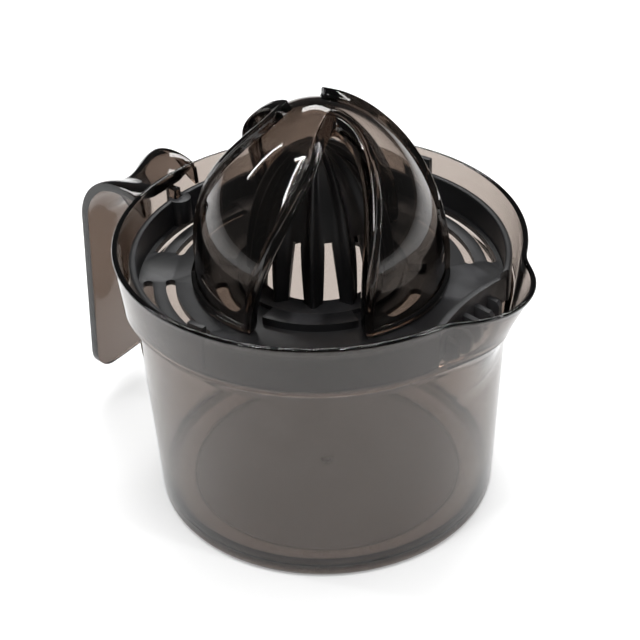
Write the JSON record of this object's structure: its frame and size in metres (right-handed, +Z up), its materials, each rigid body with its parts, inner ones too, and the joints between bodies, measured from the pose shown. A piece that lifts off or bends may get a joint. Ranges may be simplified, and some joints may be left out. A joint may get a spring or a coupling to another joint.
{
  "type": "citrus press juicer",
  "caption": "Smoky see-through jug with pouring lip and hook handle, black strainer tray with small ribbed reamer, and a large three-arched reamer that stands over it.",
  "frame": {"origin": "on the table, below the middle of the overall length from the handle to the spout's tip", "axes": "+X along the length, from the handle towards the spout; +Z up; +Y to the left of the spout"},
  "size_m": [0.1763, 0.1358, 0.1455],
  "materials": {
    "jug_smoke": "polished smoky see-through styrene",
    "handle_smoke": "polished smoky see-through styrene",
    "tray_black": "satin black with fine spark texture",
    "small_reamer_black": "satin black with fine spark texture",
    "large_reamer_smoke": "polished smoky see-through styrene"
  },
  "bodies": {
    "jug_body": {"jug": "jug_smoke", "handle": "handle_smoke"},
    "tray_body": {"strainer_tray": "tray_black", "small_reamer": "small_reamer_black"},
    "large_reamer_body": {"large_reamer": "large_reamer_smoke"}
  },
  "joints": [
    {"name": "tray_lift", "type": "slide", "parent": "jug_body", "child": "tray_body", "axis": [0, 0, 1], "range_m": [0, 0.06]},
    {"name": "large_reamer_lift", "type": "slide", "parent": "tray_body", "child": "large_reamer_body", "axis": [0, 0, 1], "range_m": [0, 0.065]}
  ]
}
